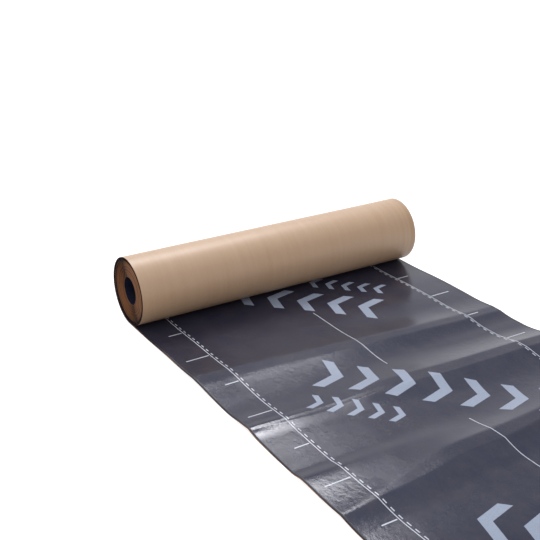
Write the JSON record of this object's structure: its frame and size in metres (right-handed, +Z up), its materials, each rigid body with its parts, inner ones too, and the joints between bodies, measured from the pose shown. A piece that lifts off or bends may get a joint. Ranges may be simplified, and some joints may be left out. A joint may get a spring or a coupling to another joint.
{
  "type": "roll of self-adhered roofing underlayment",
  "caption": "Roll of black roofing membrane on tan release paper, with a length unrolled flat in front of it in low waves.",
  "frame": {"origin": "on the floor, at the middle of the bounding box", "axes": "+X along the roll's axis and across the sheet, +Y from the sheet's free end to the roll, +Z up"},
  "size_m": [0.9144, 1.4152, 0.1907],
  "materials": {
    "membrane": "satin black plastic film with pale printed lap lines",
    "release_liner": "smooth tan kraft release paper"
  },
  "bodies": {
    "root": {"membrane": "membrane", "release_liner": "release_liner"}
  },
  "joints": []
}
